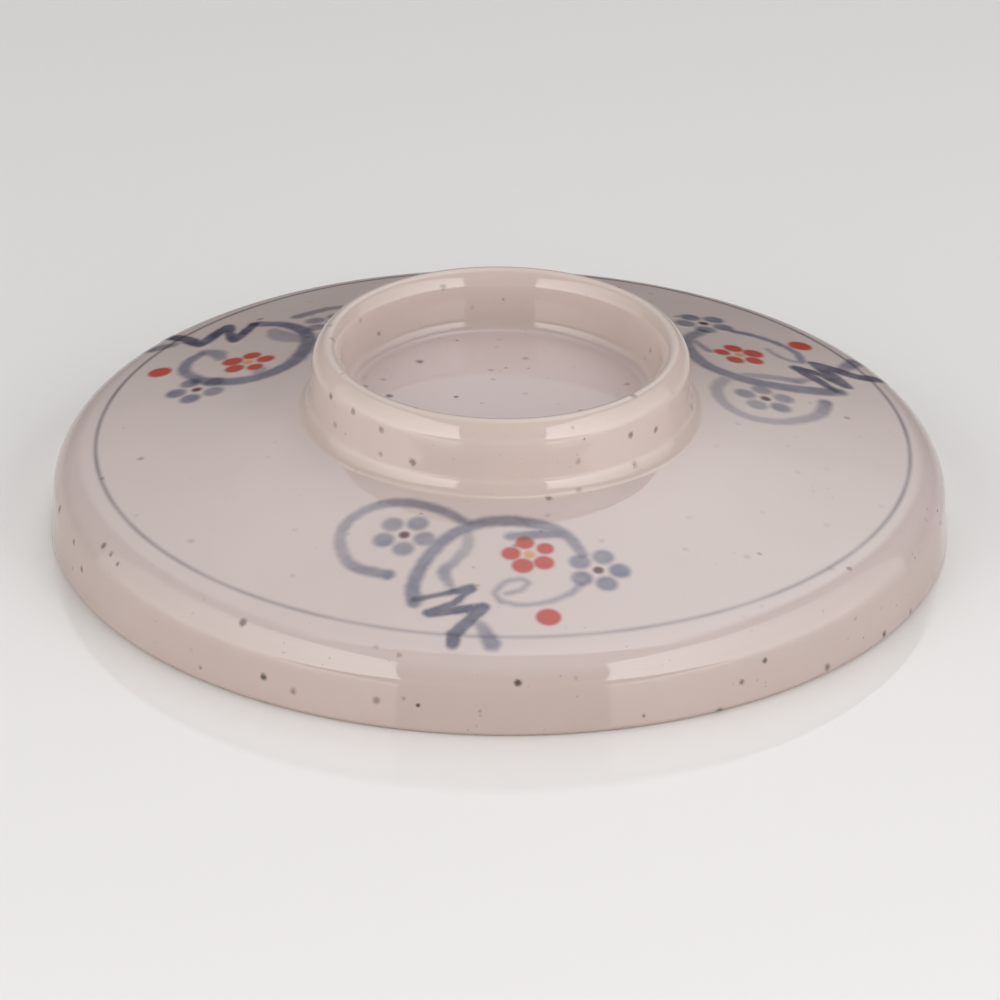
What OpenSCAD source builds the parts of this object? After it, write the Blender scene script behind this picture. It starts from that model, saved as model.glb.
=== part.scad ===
// Lid of a rice or tea bowl: a thrown clay body with a ring grip, a glossy speckled
// glaze, and a painted line with three sprays of plum blossom on a scrolling vine.
// The lid stands on its rim at z = 0, and its axis is the z axis. Sizes are in millimetres.

/* [Rim and skirt] */
// Widest diameter of the lid, just above the rim's lower edge
rim_d = 160; // [150:1:180]
// Thickness of the skirt at the rim
skirt_t = 3; // [2.4:0.1:3.6]
// Lean of the skirt's outer wall, in degrees
skirt_draft = 4.8; // [2:0.2:8]
// Height at which the lines of the skirt and the dome meet
shoulder_h = 13.4; // [12:0.1:15]
// Rounding of the shoulder between skirt and dome
shoulder_round = 7.4; // [5:0.1:8.5]
// Rounding of the rim's lower edge, outside
rim_edge_round = 1; // [0.7:0.1:1.2]
// Rounding of the rim's lower edge, inside
seat_edge_round = 0.8; // [0.4:0.1:1]
// Rounding inside, between the seat for the bowl and the underside of the dome
seat_round = 4.4; // [2:0.1:5]

/* [Dome] */
// Slope of the dome, in degrees
dome_slope = 12; // [10:0.5:13]
// Thickness of the dome
dome_t = 3; // [2.4:0.1:3.6]

/* [Ring grip] */
// Full height of the lid, up to the ring's lip
lid_h = 35.6; // [33:0.1:40]
// Diameter at which the ring's outer wall meets the dome
ring_base_d = 67.6; // [65:0.2:71]
// Lean of the ring's outer wall, in degrees
ring_draft = 1.6; // [0.6:0.2:4]
// Width of the lip's outer flank, from the ring's wall in to the crest
lip_outer_w = 2.8; // [2.6:0.1:3.2]
// Width of the lip's inner flank, from the crest in to the well's wall
lip_inner_w = 2.3; // [2.1:0.1:2.8]
// Fall of the lip's flanks beside its crest, in degrees
lip_fall = 42; // [36:1:46]
// Rounding of the lip's crest
lip_round = 1.6; // [1:0.1:1.8]
// Rounding at the foot of the ring's outer wall
ring_foot_round = 2.7; // [1:0.1:3.2]
// Depth of the well inside the ring
well_depth = 10.9; // [8:0.1:12]
// Lean of the well's wall, in degrees
well_draft = 4.5; // [3:0.5:8]
// Rounding at the foot of the well's wall
well_round = 2.5; // [1.5:0.1:4]
// Thickness of the well's floor
floor_t = 3; // [2.4:0.1:3.6]
// Rounding under the dome, round the flat ceiling
ceiling_round = 8; // [4:0.5:12]

/* [Glaze] */
// Thickness of the glaze
glaze_t = 0.3; // [0.2:0.05:0.4]
// Share of the rim's outer rounding that the glaze covers, above the bare edge that it stands on
glaze_wrap = 0.6; // [0.3:0.05:0.7]
// Width of the bare clay band inside, between the seat and the inner glaze
bare_band_w = 5; // [4.5:0.1:8]

/* [Painting] */
// Thickness of the enamel colours, which are fused on the glaze
paint_t = 0.15; // [0.1:0.01:0.2]
// Hairline between the glaze and the colours, which the melted enamel fills
fuse_gap = 0.1; // [0.05:0.01:0.15]
// Distance of the painted line from the lid's widest diameter
line_inset = 7.6; // [7:0.1:12]
// Width of the painted line
line_w = 0.7; // [0.5:0.1:1.2]
// Offset of the painting's centre from the lid's axis, to the right
paint_shift_x = 0.5; // [-1:0.1:1]
// Offset of the painting's centre from the lid's axis, to the back
paint_shift_y = 0.5; // [-1:0.1:1]
// Diameter of a petal of the coral blossom
coral_petal_d = 3.4; // [2.6:0.1:3.6]
// Distance of the coral petals from the middle of their blossom
coral_petal_out = 3.2; // [3.2:0.1:3.8]
// Diameter of the pale yellow heart of the coral blossom
yellow_heart_d = 2; // [1.4:0.1:2.2]
// Diameter of a petal of a blue blossom
blue_petal_d = 3.6; // [2.8:0.1:4]
// Distance of the blue petals from the middle of their blossom
blue_petal_out = 3.7; // [3.6:0.1:4.2]
// Diameter of the brown heart of a blue blossom
brown_heart_d = 1.9; // [1.2:0.1:2.4]
// Diameter of the coral berry beside the vine
berry_d = 4.4; // [3:0.1:5]

/* [Hidden] */
$fn = 180;
// Turn of each short step along a rounding, in degrees
arc_step = 9;
// Straight steps from one point of a brush stroke to the next
stroke_steps = 3;
// Turn of each short step round a stroke's end, in degrees
cap_step = 30;
// Petals of a plum blossom
petals_each = 5;
spray_names = ["front", "right", "left"];
spray_kinds = ["vine", "twig", "coral_petals", "yellow_heart", "blue_petals", "brown_hearts", "berry"];
sprays = [for (k = [0:len(spray_names) - 1]) k];

// Lines of the outside: the skirt leans in, and the dome rises to the ring
rim_r = rim_d / 2;
rim_corner_r = rim_r - rim_edge_round + rim_edge_round * cos(skirt_draft)
    + rim_edge_round * (1 + sin(skirt_draft)) * tan(skirt_draft);
shoulder_r = rim_corner_r - shoulder_h * tan(skirt_draft);
ring_base_r = ring_base_d / 2;
ring_base_h = dome_height(ring_base_r);
// The lip's two flanks rise to a crest, and each is rounded into the wall below it
crest_h = lid_h + lip_round * (1 / cos(lip_fall) - 1);
lip_outer_h = crest_h - lip_outer_w * tan(lip_fall);
lip_outer_r = ring_base_r - (lip_outer_h - ring_base_h) * tan(ring_draft);
crest_r = lip_outer_r - lip_outer_w;
lip_inner_h = crest_h - lip_inner_w * tan(lip_fall);
lip_inner_r = crest_r - lip_inner_w;
well_floor_h = lid_h - well_depth;
well_corner_r = lip_inner_r - (lip_inner_h - well_floor_h) * tan(well_draft);

// Lines of the inside: a straight seat for the bowl's rim, the dome's underside and a flat ceiling
seat_r = rim_r - skirt_t;
dome_drop = dome_t / cos(dome_slope);
ceiling_h = well_floor_h - floor_t;
ceiling_r = shoulder_r - (ceiling_h + dome_drop - shoulder_h) / tan(dome_slope);

// The lid's outline from the axis above, round the rim, to the axis below. Each corner is
// [radius, height, rounding].
lid_outline = [
    [0, well_floor_h, 0],
    [well_corner_r, well_floor_h, well_round],
    [lip_inner_r, lip_inner_h, flank_round(lip_inner_w, well_draft)],
    [crest_r, crest_h, lip_round],
    [lip_outer_r, lip_outer_h, flank_round(lip_outer_w, ring_draft)],
    [ring_base_r, ring_base_h, ring_foot_round],
    [shoulder_r, shoulder_h, shoulder_round],
    [rim_corner_r, 0, rim_edge_round],
    [seat_r, 0, seat_edge_round],
    [seat_r, dome_height(seat_r) - dome_drop, seat_round],
    [ceiling_r, ceiling_h, ceiling_round],
    [0, ceiling_h, 0]
];
// Places of the sides in that outline
dome_side = 5;
skirt_side = 6;
underside = 9;
// A side that carries glaze is 1, and the bare rim and seat are 0
glazed_sides = [1, 1, 1, 1, 1, 1, 1, 0, 0, 1, 1];
clay_outline = inset(lid_outline, glaze_t * glazed_sides);
paint_under = inset(lid_outline, -fuse_gap * glazed_sides);
paint_over = inset(lid_outline, -(fuse_gap + paint_t) * glazed_sides);

// Where the painting ends towards the ring and on the skirt, and the height of the strokes' prisms
paint_in_r = ring_base_r + 1.4 * ring_foot_round;
paint_low_h = rim_edge_round;
prism_h = lid_h;

line_r = rim_r - line_inset;
coral = "#c8695f";
yellow = "#d9bd86";
brown = "#5f3c41";
vine_blue = "#8c8a94";
twig_blue = "#69708a";
petal_blue = "#9694a0";
glaze_cream = "#cfc0b6";
clay_buff = "#bda58c";

// Brush strokes of the sprays: each point is [along the line, in from the line, width of the stroke].
// Every spray is painted by hand, so each has its own points.
scroll = [
    [
        [-5.9, 29.6, 2], [-10.5, 33.4, 2.2], [-16.8, 36, 2.4], [-22.5, 35.4, 2.2],
        [-26.8, 31.6, 2.1], [-27.8, 25.9, 2.1], [-25.5, 19.6, 2.4], [-19.5, 16.7, 2.6]
    ],
    [
        [-6.4, 30.2, 2.2], [-10, 34.2, 2.4], [-15.5, 36.2, 2.4], [-20.6, 34.8, 2.4],
        [-23.2, 30.4, 2.4], [-23.3, 25, 2.4], [-21.3, 19.3, 2.5], [-17.1, 15.6, 2.6]
    ],
    [
        [-7.4, 29.4, 2], [-12, 33.2, 2.2], [-18.3, 35.8, 2.4], [-24, 35.2, 2.2],
        [-28.3, 31.4, 2.1], [-29.3, 25.7, 2.1], [-27, 20, 2.4], [-21.1, 16.5, 2.6]
    ]
];
stem = [
    [
        [-14.8, 9, 2.6], [-15, 14, 2.6], [-12.7, 20.8, 2.5], [-8.6, 26.7, 2.6],
        [-2.3, 30.1, 2.8], [4.5, 30.1, 2.8], [10.5, 27.8, 2.4], [13.9, 22.4, 2]
    ],
    [
        [-13, 10.2, 3.2], [-12.6, 14, 3.4], [-10.6, 20, 3.4], [-7, 26.2, 3.4],
        [-1, 30.2, 3.2], [6, 30, 3], [12.5, 26.8, 2.6], [16.6, 21, 2.4]
    ],
    [
        [-15.7, 10.6, 2.8], [-16.4, 15.7, 2.8], [-14.2, 21.3, 2.8], [-9.5, 25.9, 3],
        [-3.2, 28.7, 3.2], [3, 29.5, 3.4], [8.5, 27.2, 3.4], [11.4, 22.7, 3.4], [11.8, 16.1, 3]
    ]
];
shoot = [
    [[-5.9, 28, 1.8], [-6, 23.4, 2.2], [-8.2, 19.4, 2], [-9.8, 16.9, 2.4], [-8.3, 12.4, 1.2]],
    [[-5, 25.6, 2], [-5.7, 22, 2.4], [-6.8, 18.8, 2.2], [-8, 16.1, 2.4], [-7.5, 12.9, 1.4]],
    [[-9.1, 24.3, 3.4], [-10, 20.6, 4.4], [-11.4, 17.9, 3.6], [-13.2, 16.1, 2]]
];
tendril = [
    [[13.5, 14.1, 1.4], [11.8, 11.9, 1.3], [8, 9.4, 1.2], [3.5, 8.4, 1.1], [0, 9.2, 1.2]],
    [[15.9, 14.7, 1.8], [13.6, 12, 1.8], [9.3, 9.5, 1.7], [4.5, 8.4, 1.7], [0.2, 9.9, 1.6]],
    [[11.3, 15.6, 2.6], [9.1, 11.4, 2.4], [6.4, 9.4, 2.4], [3.2, 8.7, 2.4], [0, 9.2, 2.2]]
];
curl = [
    [
        [0, 9.2, 1.2], [-1, 11.4, 1.2], [0.6, 14.1, 1.1], [3.2, 15.1, 1.2],
        [4.5, 14.1, 1.2], [3.2, 12.2, 1.1], [0.8, 11.2, 1]
    ],
    [[0.2, 9.9, 1.6], [0.7, 11.6, 1.4], [2.3, 12.7, 1.3], [4.1, 13.3, 1.3], [6.4, 13.3, 1.3]],
    [[-0.8, 9, 2.2], [-0.4, 12, 3.2], [1.8, 14.3, 2.2]]
];
leaf = [
    [[1.5, 26.3, 2.2], [10, 27.6, 2.4]],
    [[6.4, 25.9, 1.6], [11.4, 25.9, 1.6]],
    [[5.9, 25.4, 2.4], [9.6, 26.5, 2.4]]
];
calyx = [
    [[-3.4, 3, 2.2], [-1.4, -1.8, 3.2]],
    [[-3.6, 3.4, 2.6], [-0.5, -1.2, 3.2]],
    [[-3.4, 0.6, 2.6], [-0.9, -2, 3]]
];
twig = [
    [
        [-14.6, 9.8, 1.4], [-5.3, 12.4, 2.4], [-7.8, 8.7, 1.7], [-12.2, 6.2, 2.4],
        [-3, 7.5, 2.5], [-7.9, 0.6, 2.7], [-8.1, -1.7, 2.5]
    ],
    [
        [-12.7, 10.6, 1.6], [-2.5, 12.9, 2.4], [-5.9, 9.3, 2], [-10.9, 7.2, 2.4],
        [-0.9, 7.9, 2.5], [-7.3, 2.4, 2.4], [-8.4, -1.2, 2.4]
    ],
    [
        [-15.7, 10.6, 1.8], [-6.8, 11.8, 2.2], [-10.4, 8.4, 1.8], [-13.6, 6.1, 2.4],
        [-3.9, 6.3, 2.4], [-6.3, 1.5, 2.6], [-7, -2, 2.4]
    ]
];
// Middles of the blossoms and the berry, one for each spray, and the turns of the blossoms in degrees
coral_at = [[4.8, 21.6], [4.1, 20.8], [3, 20.8]];
coral_turn = [33, 62, 55];
left_blue_at = [[-16.8, 27.1], [-14.9, 26.9], [-19.2, 25]];
left_blue_turn = [52, 52, 52];
right_blue_at = [[16.6, 18.4], [20.7, 18.4], [15.5, 17.8]];
right_blue_turn = [5, 11, 14];
berry_at = [[8.1, 5.4], [7.8, 5.5], [9.2, 5.9]];

// Rounding that fills a flank of the lip between the crest's own rounding and the wall, which leans by draft
function flank_round(width, draft) =
    let (room = width / cos(lip_fall) - lip_round * tan(lip_fall))
    0.98 * room / tan((90 - lip_fall - draft) / 2);

// Height of the dome's outer line at a radius
function dome_height(r) = shoulder_h + (shoulder_r - r) * tan(dome_slope);

function flat(p) = [p[0], p[1]];
function unit(v) = v / norm(v);
function turned(v, angle) = v * cos(angle) + [-v[1], v[0]] * sin(angle);
function reversed(list) = [for (i = [len(list) - 1:-1:0]) list[i]];
// Point where the line from p along u crosses the line from q along v
function crossing(p, u, q, v) = p + u * cross(q - p, v) / cross(u, v);
function along(outline, side) = unit(flat(outline[side + 1]) - flat(outline[side]));
// Direction from a side into the wall
function inwards(outline, side) = turned(along(outline, side), -90);

// The outline with each side moved into the wall by its own depth, and roundings to match
function inset(outline, depths) = [
    for (i = [0:len(outline) - 1])
        let (
            last = len(depths) - 1,
            before = max(i - 1, 0),
            after = min(i, last),
            p = flat(outline[i]) + inwards(outline, before) * depths[before],
            q = flat(outline[i]) + inwards(outline, after) * depths[after],
            bend = before == after ? 0 : cross(along(outline, before), along(outline, after)),
            corner = bend == 0 ? p : crossing(p, along(outline, before), q, along(outline, after)),
            change = sign(bend) * max(depths[before], depths[after])
        )
        [corner[0], corner[1], outline[i][2] > 0 ? outline[i][2] + change : 0]
];

// Points of the round corner at b between a and c, or of the first share of it
function round_corner(a, b, c, radius, share = 1) =
    let (
        u = unit(b - a),
        v = unit(c - b),
        turn = acos(u * v),
        side = sign(cross(u, v)),
        start = b - u * radius * tan(turn / 2),
        spoke = turned(u, -90 * side) * radius,
        steps = max(2, ceil(turn / arc_step))
    )
    [for (k = [0:steps]) start - spoke + turned(spoke, side * turn * share * k / steps)];

function rounded(outline) = [
    for (i = [0:len(outline) - 1])
        let (point = flat(outline[i]))
        each outline[i][2] == 0
            ? [point]
            : round_corner(flat(outline[i - 1]), point, flat(outline[i + 1]), outline[i][2])
];

// Point of a side at a height or at a radius, as a corner with no rounding
function side_at(outline, side, axis, value) =
    let (
        p = flat(outline[side]),
        q = flat(outline[side + 1]),
        point = p + (q - p) * (value - p[axis]) / (q[axis] - p[axis])
    )
    [point[0], point[1], 0];

// The outside from the axis to the glaze's lower edge on the rim's rounding, the inside from the
// bare band to the axis, and the painted stretch of the outside
function outside(outline) =
    let (
        rim = skirt_side + 1,
        shoulder = flat(outline[rim - 1]),
        corner = flat(outline[rim]),
        seat = flat(outline[rim + 1]),
        upper = rounded([for (i = [0:rim]) i < rim ? outline[i] : [corner[0], corner[1], 0]])
    )
    concat(
        [for (i = [0:len(upper) - 2]) upper[i]],
        round_corner(shoulder, corner, seat, outline[rim][2], glaze_wrap)
    );
function inside(outline) = rounded(concat(
    [side_at(outline, underside, 0, seat_r - bare_band_w)],
    [for (i = [underside + 1:len(outline) - 1]) outline[i]]
));
function painted_stretch(outline) = rounded([
    side_at(outline, dome_side, 0, paint_in_r),
    outline[skirt_side],
    side_at(outline, skirt_side, 1, paint_low_h)
]);

// Smooth curve through the points of a stroke, with the width carried along
function smooth(points) = [
    for (i = [0:len(points) - 2])
        let (
            before = points[max(i - 1, 0)],
            from = points[i],
            to = points[i + 1],
            after = points[min(i + 2, len(points) - 1)]
        )
        for (k = [0:i == len(points) - 2 ? stroke_steps : stroke_steps - 1])
            let (t = k / stroke_steps)
            (2 * from + (to - before) * t + (2 * before - 5 * from + 4 * to - after) * pow(t, 2)
                + (3 * from - before - 3 * to + after) * pow(t, 3)) / 2
];

// Heading of a run of points at one of them
function heading(run, i) = unit(flat(run[min(i + 1, len(run) - 1)]) - flat(run[max(i - 1, 0)]));
function stroke_edge(run, side) = [
    for (i = [0:len(run) - 1]) flat(run[i]) + turned(heading(run, i), 90 * side) * run[i][2] / 2
];
function stroke_cap(point, direction) = [
    for (angle = [90 - cap_step:-cap_step:-90 + cap_step])
        flat(point) + turned(direction, angle) * point[2] / 2
];
// Outline of a stroke with round ends
function stroke_outline(run) =
    let (last = len(run) - 1)
    concat(
        stroke_edge(run, 1),
        stroke_cap(run[last], heading(run, last)),
        reversed(stroke_edge(run, -1)),
        stroke_cap(run[0], -heading(run, 0))
    );

module stroke(run) {
    linear_extrude(prism_h) polygon(stroke_outline(run));
}

module dot(at, d) {
    translate(at) cylinder(h = prism_h, d = d);
}

module petals(at, turn, out, d) {
    for (i = [0:petals_each - 1])
        dot(at + turned([out, 0], turn + 360 * i / petals_each), d);
}

// The upright prisms of one spray's colours, in the spray's own frame
module vine_strokes(k) {
    for (curve = [scroll, stem, shoot, tendril, curl])
        stroke(smooth(curve[k]));
    for (bar = [leaf, calyx])
        stroke(bar[k]);
}

module twig_strokes(k) {
    for (i = [0:len(twig[k]) - 2])
        stroke([twig[k][i], twig[k][i + 1]]);
}

module coral_dots(k) {
    petals(coral_at[k], coral_turn[k], coral_petal_out, coral_petal_d);
}

module blue_dots(k) {
    petals(left_blue_at[k], left_blue_turn[k], blue_petal_out, blue_petal_d);
    petals(right_blue_at[k], right_blue_turn[k], blue_petal_out, blue_petal_d);
}

module brown_dots(k) {
    dot(left_blue_at[k], brown_heart_d);
    dot(right_blue_at[k], brown_heart_d);
}

module spray_place(k) {
    translate([paint_shift_x, paint_shift_y])
        rotate(360 * k / len(sprays))
            translate([0, -line_r])
                children();
}

// Skin on the dome and shoulder, as thick as the colours
module painted_skin() {
    rotate_extrude()
        polygon(concat(painted_stretch(paint_over), reversed(painted_stretch(paint_under))));
}

module fused_colour(k) {
    intersection() {
        painted_skin();
        spray_place(k) children();
    }
}

module line_ring() {
    translate([paint_shift_x, paint_shift_y])
        difference() {
            cylinder(h = prism_h, r = line_r + line_w / 2);
            cylinder(h = prism_h, r = line_r - line_w / 2);
        }
}

module clay_body() {
    color(clay_buff)
        rotate_extrude()
            polygon(rounded(clay_outline));
}

module outer_glaze() {
    color(glaze_cream)
        rotate_extrude()
            polygon(concat(outside(lid_outline), reversed(outside(clay_outline))));
}

module inner_glaze() {
    color(glaze_cream)
        rotate_extrude()
            polygon(concat(inside(clay_outline), reversed(inside(lid_outline))));
}

// The line stops at the strokes of the sprays that cross it
module painted_line() {
    color(vine_blue)
        intersection() {
            painted_skin();
            difference() {
                line_ring();
                for (k = sprays)
                    spray_place(k) {
                        stroke(calyx[k]);
                        twig_strokes(k);
                    }
            }
        }
}

// The vine's pale strokes, under the twig and the blossoms
module vine(k) {
    color(vine_blue)
        fused_colour(k)
            difference() {
                vine_strokes(k);
                twig_strokes(k);
                coral_dots(k);
                blue_dots(k);
            }
}

module twig_colour(k) {
    color(twig_blue)
        fused_colour(k)
            twig_strokes(k);
}

module coral_petals(k) {
    color(coral)
        fused_colour(k)
            coral_dots(k);
}

module yellow_heart(k) {
    color(yellow)
        fused_colour(k)
            difference() {
                dot(coral_at[k], yellow_heart_d);
                coral_dots(k);
            }
}

module blue_petals(k) {
    color(petal_blue)
        fused_colour(k)
            difference() {
                blue_dots(k);
                brown_dots(k);
            }
}

module brown_hearts(k) {
    color(brown)
        fused_colour(k)
            brown_dots(k);
}

module berry(k) {
    color(coral)
        fused_colour(k)
            dot(berry_at[k], berry_d);
}

clay_body();
outer_glaze();
inner_glaze();
painted_line();
for (k = sprays) {
    vine(k);
    twig_colour(k);
    coral_petals(k);
    yellow_heart(k);
    blue_petals(k);
    brown_hearts(k);
    berry(k);
}
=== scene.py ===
# %% [markdown]
# # A painted bowl lid
# This lid covers a rice or tea bowl. A potter throws the clay, dips it in a cream glaze that is full of tiny iron
# specks, and paints a line and three sprays of plum blossom on it. The lesson loads the measured solids first, and
# hides each of them where a surface below takes its place.

import bpy
import numpy as np
from mathutils import Matrix


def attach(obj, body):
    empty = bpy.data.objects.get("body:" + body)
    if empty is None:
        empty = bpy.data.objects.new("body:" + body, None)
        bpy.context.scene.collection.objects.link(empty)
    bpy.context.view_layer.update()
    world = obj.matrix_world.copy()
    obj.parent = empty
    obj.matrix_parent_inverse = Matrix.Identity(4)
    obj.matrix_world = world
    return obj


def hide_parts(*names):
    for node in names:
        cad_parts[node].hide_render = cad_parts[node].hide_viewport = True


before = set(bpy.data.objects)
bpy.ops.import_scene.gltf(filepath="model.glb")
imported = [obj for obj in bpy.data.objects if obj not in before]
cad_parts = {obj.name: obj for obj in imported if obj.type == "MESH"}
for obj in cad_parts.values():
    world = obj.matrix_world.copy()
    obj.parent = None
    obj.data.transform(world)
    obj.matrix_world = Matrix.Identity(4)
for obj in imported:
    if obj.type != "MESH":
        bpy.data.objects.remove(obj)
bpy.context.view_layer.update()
MM = 0.001

# %% [markdown]
# ## The camera
# The picture was taken with a long lens from a little above the table. The angles and the distance below make the
# ellipses of the rim, the ring and the painted line fall where the photograph has them. A long lens keeps the near and
# the far rim almost the same size, which is why a wide lens close by would never match.

# %% Camera
elevation, roll = 0.472973, 0.013169
distance, aim_height = 1336.507 * MM, 4.195 * MM
focal_px, picture_px, sensor_mm, side_shift = 7486.56, 1000, 36, 0.000558

back = np.array([0, -np.cos(elevation), np.sin(elevation)])
level = np.array([1.0, 0, 0])
upright = np.array([0, np.sin(elevation), np.cos(elevation)])
camera = bpy.data.objects.new("camera", bpy.data.cameras.new("camera"))
bpy.context.scene.collection.objects.link(camera)
turn = np.eye(4)
turn[:3, 0] = level * np.cos(roll) + upright * np.sin(roll)
turn[:3, 1] = upright * np.cos(roll) - level * np.sin(roll)
turn[:3, 2] = back
turn[:3, 3] = back * distance + [0, 0, aim_height]
camera.matrix_world = Matrix(turn.tolist())
camera.data.sensor_width = sensor_mm
camera.data.lens = sensor_mm * focal_px / picture_px
camera.data.shift_x = side_shift
bpy.context.scene.camera = camera
print(f"camera {distance:.3f} m away and {np.degrees(elevation):.1f} degrees above the table,",
      f"lens {camera.data.lens:.1f} mm")

# %% [markdown]
# ## The outline that the potter turns
# A thrown lid is one outline turned about its axis. Each corner below is a radius, a height and a rounding, from the
# middle of the well, over the ring's lip, the dome and the rim, to the middle of the ceiling underneath. Drawing the
# corners and rounding them afterwards is the way a drawing office does it, and it keeps every blend a true arc. The
# hollow at the foot of the ring is well rounded, because glaze runs down the ring and pools there.

# %% Corners of the lid
rim_r, skirt_t, skirt_lean, shoulder_h, rim_edge = 80, 3, np.radians(4.8), 13.4, 1
dome_slope, dome_t = np.radians(12), 3
lid_h, ring_base_r, ring_lean = 35.6, 33.8, np.radians(1.6)
lip_outer_w, lip_inner_w, lip_fall, lip_round = 2.8, 2.3, np.radians(42), 1.6
well_depth, well_lean, floor_t = 10.9, np.radians(4.5), 3
glaze_t, glaze_wrap, bare_band = 0.3, 0.6, 5
well_round, foot_round, shoulder_round = 2.5, 3.3, 7.4
rim_inner_round, seat_round, ceiling_round = 0.8, 4.4, 8

rim_corner_r = rim_r - rim_edge + rim_edge / np.cos(skirt_lean) + rim_edge * np.tan(skirt_lean)
shoulder_r = rim_corner_r - shoulder_h * np.tan(skirt_lean)
ring_base_h = shoulder_h + (shoulder_r - ring_base_r) * np.tan(dome_slope)
crest_h = lid_h + lip_round * (1 / np.cos(lip_fall) - 1)
lip_outer_h, lip_inner_h = crest_h - lip_outer_w * np.tan(lip_fall), crest_h - lip_inner_w * np.tan(lip_fall)
lip_outer_r = ring_base_r - (lip_outer_h - ring_base_h) * np.tan(ring_lean)
crest_r = lip_outer_r - lip_outer_w
lip_inner_r = crest_r - lip_inner_w
well_h = lid_h - well_depth
seat_r, ceiling_h = rim_r - skirt_t, well_h - floor_t
dome_drop = dome_t / np.cos(dome_slope)
seat_h = shoulder_h + (shoulder_r - seat_r) * np.tan(dome_slope) - dome_drop
ceiling_r = shoulder_r - (ceiling_h + dome_drop - shoulder_h) / np.tan(dome_slope)


def flank_round(width, lean, fill=0.98):
    """Rounding that fills a flank of the lip between the crest's own rounding and the wall below it."""
    room = width / np.cos(lip_fall) - lip_round * np.tan(lip_fall)
    return fill * room / np.tan((np.pi / 2 - lip_fall - lean) / 2)


lid_corners = np.array([
    [0, well_h, 0],
    [lip_inner_r - (lip_inner_h - well_h) * np.tan(well_lean), well_h, well_round],
    [lip_inner_r, lip_inner_h, flank_round(lip_inner_w, well_lean)],
    [crest_r, crest_h, lip_round],
    [lip_outer_r, lip_outer_h, flank_round(lip_outer_w, ring_lean)],
    [ring_base_r, ring_base_h, foot_round],
    [shoulder_r, shoulder_h, shoulder_round],
    [rim_corner_r, 0, rim_edge],
    [seat_r, 0, rim_inner_round],
    [seat_r, seat_h, seat_round],
    [ceiling_r, ceiling_h, ceiling_round],
    [0, ceiling_h, 0],
])
rim_at, under_at = 7, 9  # rows of the rim's corner and of the seat's inner corner
print("corners of the outline:", len(lid_corners))
print("crest of the ring at radius", round(crest_r, 2), "and dome meets ring at height", round(ring_base_h, 2))


# %% Round the corners, and move the sides in
def cross(u, v):
    """Area spanned by plane vectors: positive when v lies to the left of u."""
    return u[..., 0] * v[..., 1] - u[..., 1] * v[..., 0]


def arc(a, b, c, radius, share=1.0, step=5.0):
    """Arc that rounds corner b between a and c: it starts radius * tan(half the turn) before b and turns about its
    centre, which lies square to the first side. share is the part of the turn that is kept."""
    u, v = (b - a) / np.linalg.norm(b - a), (c - b) / np.linalg.norm(c - b)
    bend, side = np.arccos(np.clip(u @ v, -1, 1)), np.sign(cross(u, v))
    spoke = radius * side * np.array([u[1], -u[0]])
    centre = b - u * radius * np.tan(bend / 2) - spoke
    angle = side * bend * share * np.linspace(0, 1, max(3, int(np.degrees(bend) / step)))[:, None]
    return centre + spoke * np.cos(angle) + np.array([-spoke[1], spoke[0]]) * np.sin(angle)


def rounded(corners):
    """Outline with every corner that has a rounding replaced by its arc."""
    flat = corners[:, :2]
    return np.vstack([
        arc(flat[i - 1], flat[i], flat[i + 1], corners[i, 2]) if corners[i, 2] > 0 else flat[i : i + 1]
        for i in range(len(corners))
    ])


def moved_in(corners, depth):
    """Corners of the outline after each side moves into the wall by its own depth: neighbouring sides are cut with
    each other again, and a rounding grows inside a hollow and shrinks on an edge."""
    flat = corners[:, :2]
    along = np.diff(flat, axis=0)
    along /= np.linalg.norm(along, axis=1)[:, None]
    shift = np.column_stack([along[:, 1], -along[:, 0]]) * depth[:, None]
    start, end = flat[:-1] + shift, flat[1:] + shift
    bend = cross(along[:-1], along[1:])
    cut = end[:-1] + along[:-1] * (cross(start[1:] - end[:-1], along[1:]) / bend)[:, None]
    grow = np.sign(bend) * np.maximum(depth[:-1], depth[1:])
    radius = np.where(corners[1:-1, 2] > 0, corners[1:-1, 2] + grow, 0)
    return np.vstack([[*start[0], 0], np.column_stack([cut, radius]), [*end[-1], 0]])


glazed_sides = np.array([1, 1, 1, 1, 1, 1, 1, 0, 0, 1, 1])
clay_corners = moved_in(lid_corners, glaze_t * glazed_sides)
print("clay outline points:", len(rounded(clay_corners)))

# %% [markdown]
# ## Turning the outline on the wheel
# The surface is the outline at every angle about the axis, so a point of the grid is (radius * cos, radius * sin,
# height). The two ends of the outline lie on the axis, where the grid closes to one point, and the last angle joins
# the first, so the shell is watertight. Long straight runs get a few extra rows: without them the smooth shading of
# a rounding would creep across the whole dome and bend its reflections.


# %% The potter's wheel
def with_rows(outline, longest=2.5):
    """Outline with extra points on its long straight runs, so that no run is longer than the given length."""
    length = np.linalg.norm(np.diff(outline, axis=0), axis=1)
    count = np.maximum(1, np.ceil(length / longest)).astype(int)
    place = np.concatenate([i + np.arange(n) / n for i, n in enumerate(count)] + [[len(length)]])
    rows = np.arange(len(outline))
    return np.column_stack([np.interp(place, rows, outline[:, k]) for k in (0, 1)])


def as_piece(name, points, faces, keep_sharp=None):
    """New smooth object at the origin from points in millimetres. A bend sharper than keep_sharp stays crisp."""
    mesh = bpy.data.meshes.new(name)
    mesh.from_pydata((points * MM).tolist(), [], faces)
    mesh.polygons.foreach_set("use_smooth", np.ones(len(faces), bool))
    if keep_sharp:
        mesh.set_sharp_from_angle(angle=keep_sharp)
    piece = bpy.data.objects.new(name, mesh)
    bpy.context.scene.collection.objects.link(piece)
    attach(piece, "root")
    return piece


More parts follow.
